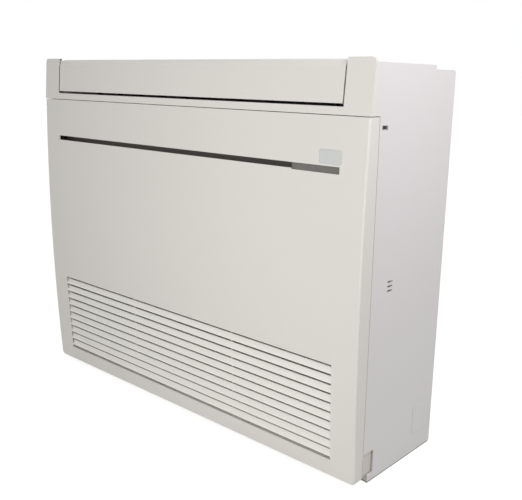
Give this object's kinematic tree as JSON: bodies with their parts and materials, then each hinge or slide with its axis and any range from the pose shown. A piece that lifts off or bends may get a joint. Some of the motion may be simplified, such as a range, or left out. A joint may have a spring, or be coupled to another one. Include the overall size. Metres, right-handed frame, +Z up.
{
  "type": "floor console air conditioner",
  "caption": "Slim floor-standing indoor air conditioner with a hinged louvred front panel, a top outlet flap, air filters, a cross-flow fan and a leaning coil.",
  "frame": {"origin": "on the floor, in the middle of the cabinet's footprint", "axes": "+X along the width to the right as seen by someone facing the front, -Y out of the front, +Y to the wall, +Z up"},
  "size_m": [0.75, 0.215, 0.6],
  "materials": {
    "white_plastic": "satin moulded plastic, warm white",
    "window_plastic": "smooth, faintly blue-grey",
    "lens_plastic": "smoked, smooth",
    "zinc_steel": "zinc coated sheet",
    "grey_plastic": "plain moulded plastic",
    "pale_foam_plastic": "plain moulded plastic",
    "black_plastic": "matt black",
    "fin_aluminium": "thin coated fins",
    "copper": "bright copper tube",
    "union_brass": "machined brass",
    "motor_resin": "moulded resin",
    "steel": "bright steel",
    "bearing_rubber": "black rubber",
    "circuit_board": "green laminate",
    "button_plastic": "smooth",
    "filter_plastic": "moulded",
    "filter_net": "fine woven net",
    "sensor_head": "coated bead"
  },
  "bodies": {
    "cabinet": {"base_plate": "zinc_steel", "bearing_bush": "grey_plastic", "coil_end_plates": "zinc_steel", "control_board": "circuit_board", "display_board": "circuit_board", "display_housing": "grey_plastic", "drain_pan": "grey_plastic", "electrical_box": "zinc_steel", "electrical_cover": "zinc_steel", "fan_bearing": "bearing_rubber", "fan_motor": "motor_resin", "fan_scroll": "pale_foam_plastic", "fin_block": "fin_aluminium", "flap_bush": "grey_plastic", "flap_motor": "motor_resin", "frame_screws": "steel", "gas_flare_union": "union_brass", "gas_pipe": "copper", "inner_frame": "grey_plastic", "liquid_flare_union": "union_brass", "liquid_pipe": "copper", "motor_strap": "zinc_steel", "outlet_frame": "white_plastic", "panel_catches": "grey_plastic", "rear_plate": "grey_plastic", "return_bends": "copper", "room_thermistor": "sensor_head", "side_casing_left": "white_plastic", "side_casing_right": "white_plastic", "side_frame_left": "grey_plastic", "side_frame_right": "grey_plastic", "stabiliser": "grey_plastic", "terminal_block": "grey_plastic", "thermistor_clip": "grey_plastic", "top_cover": "white_plastic"},
    "front_panel": {"front_panel": "white_plastic", "receiver_window": "window_plastic", "display_lens": "lens_plastic"},
    "outlet_flap": {"outlet_flap": "white_plastic"},
    "fan": {"cross_flow_fan": "black_plastic", "fan_shafts": "steel"},
    "emergency_button": {"emergency_button": "button_plastic"},
    "filter_left": {"filter_frame_left": "filter_plastic", "filter_mesh_left": "filter_net"},
    "filter_right": {"filter_frame_right": "filter_plastic", "filter_mesh_right": "filter_net"},
    "vane_left_1": {"guide_vane_left_1": "black_plastic"},
    "vane_left_2": {"guide_vane_left_2": "black_plastic"},
    "vane_left_3": {"guide_vane_left_3": "black_plastic"},
    "vane_left_4": {"guide_vane_left_4": "black_plastic"},
    "vane_left_5": {"guide_vane_left_5": "black_plastic"},
    "tie_bar_left": {"vane_tie_bar_left": "black_plastic"},
    "vane_right_1": {"guide_vane_right_1": "black_plastic"},
    "vane_right_2": {"guide_vane_right_2": "black_plastic"},
    "vane_right_3": {"guide_vane_right_3": "black_plastic"},
    "vane_right_4": {"guide_vane_right_4": "black_plastic"},
    "vane_right_5": {"guide_vane_right_5": "black_plastic"},
    "tie_bar_right": {"vane_tie_bar_right": "black_plastic"}
  },
  "joints": [
    {"name": "panel_hinge", "type": "hinge", "parent": "cabinet", "child": "front_panel", "pos_m": [0, -0.09, 0.018], "axis": [1, 0, 0], "range_deg": [0, 65]},
    {"name": "flap_hinge", "type": "hinge", "parent": "cabinet", "child": "outlet_flap", "pos_m": [0, -0.08, 0.585], "axis": [-1, 0, 0], "range_deg": [0, 85]},
    {"name": "fan_spin", "type": "hinge", "parent": "cabinet", "child": "fan", "pos_m": [0, 0.022, 0.425], "axis": [1, 0, 0], "continuous": true},
    {"name": "emergency_button_press", "type": "slide", "parent": "cabinet", "child": "emergency_button", "axis": [0, 1, 0], "range_m": [0, 0.0015], "stiffness_N_per_m": 400, "springref_m": -0.0008},
    {"name": "filter_left_lift", "type": "slide", "parent": "cabinet", "child": "filter_left", "axis": [0, 0, 1], "range_m": [0, 0.012]},
    {"name": "filter_right_lift", "type": "slide", "parent": "cabinet", "child": "filter_right", "axis": [0, 0, 1], "range_m": [0, 0.012]},
    {"name": "vane_left_1_turn", "type": "hinge", "parent": "cabinet", "child": "vane_left_1", "pos_m": [-0.031, -0.05756, 0.50357], "axis": [0, 0.8398, 0.5428], "range_deg": [-30, 30]},
    {"name": "vane_left_2_turn", "type": "hinge", "parent": "cabinet", "child": "vane_left_2", "pos_m": [-0.093, -0.05756, 0.50357], "axis": [0, 0.8398, 0.5428], "range_deg": [-30, 30]},
    {"name": "vane_left_3_turn", "type": "hinge", "parent": "cabinet", "child": "vane_left_3", "pos_m": [-0.155, -0.05756, 0.50357], "axis": [0, 0.8398, 0.5428], "range_deg": [-30, 30]},
    {"name": "vane_left_4_turn", "type": "hinge", "parent": "cabinet", "child": "vane_left_4", "pos_m": [-0.217, -0.05756, 0.50357], "axis": [0, 0.8398, 0.5428], "range_deg": [-30, 30]},
    {"name": "vane_left_5_turn", "type": "hinge", "parent": "cabinet", "child": "vane_left_5", "pos_m": [-0.279, -0.05756, 0.50357], "axis": [0, 0.8398, 0.5428], "range_deg": [-30, 30]},
    {"name": "tie_bar_left_turn", "type": "hinge", "parent": "vane_left_1", "child": "tie_bar_left", "pos_m": [-0.031, -0.06787, 0.51953], "axis": [0, 0.8398, 0.5428], "range_deg": [-30, 30]},
    {"name": "vane_right_1_turn", "type": "hinge", "parent": "cabinet", "child": "vane_right_1", "pos_m": [0.031, -0.05756, 0.50357], "axis": [0, 0.8398, 0.5428], "range_deg": [-30, 30]},
    {"name": "vane_right_2_turn", "type": "hinge", "parent": "cabinet", "child": "vane_right_2", "pos_m": [0.093, -0.05756, 0.50357], "axis": [0, 0.8398, 0.5428], "range_deg": [-30, 30]},
    {"name": "vane_right_3_turn", "type": "hinge", "parent": "cabinet", "child": "vane_right_3", "pos_m": [0.155, -0.05756, 0.50357], "axis": [0, 0.8398, 0.5428], "range_deg": [-30, 30]},
    {"name": "vane_right_4_turn", "type": "hinge", "parent": "cabinet", "child": "vane_right_4", "pos_m": [0.217, -0.05756, 0.50357], "axis": [0, 0.8398, 0.5428], "range_deg": [-30, 30]},
    {"name": "vane_right_5_turn", "type": "hinge", "parent": "cabinet", "child": "vane_right_5", "pos_m": [0.279, -0.05756, 0.50357], "axis": [0, 0.8398, 0.5428], "range_deg": [-30, 30]},
    {"name": "tie_bar_right_turn", "type": "hinge", "parent": "vane_right_1", "child": "tie_bar_right", "pos_m": [0.031, -0.06787, 0.51953], "axis": [0, 0.8398, 0.5428], "range_deg": [-30, 30]}
  ],
  "couplings": [
    {"joint": "vane_left_2_turn", "follows": "vane_left_1_turn", "ratio": 1},
    {"joint": "vane_left_3_turn", "follows": "vane_left_1_turn", "ratio": 1},
    {"joint": "vane_left_4_turn", "follows": "vane_left_1_turn", "ratio": 1},
    {"joint": "vane_left_5_turn", "follows": "vane_left_1_turn", "ratio": 1},
    {"joint": "tie_bar_left_turn", "follows": "vane_left_1_turn", "ratio": -1},
    {"joint": "vane_right_2_turn", "follows": "vane_right_1_turn", "ratio": 1},
    {"joint": "vane_right_3_turn", "follows": "vane_right_1_turn", "ratio": 1},
    {"joint": "vane_right_4_turn", "follows": "vane_right_1_turn", "ratio": 1},
    {"joint": "vane_right_5_turn", "follows": "vane_right_1_turn", "ratio": 1},
    {"joint": "tie_bar_right_turn", "follows": "vane_right_1_turn", "ratio": -1}
  ]
}
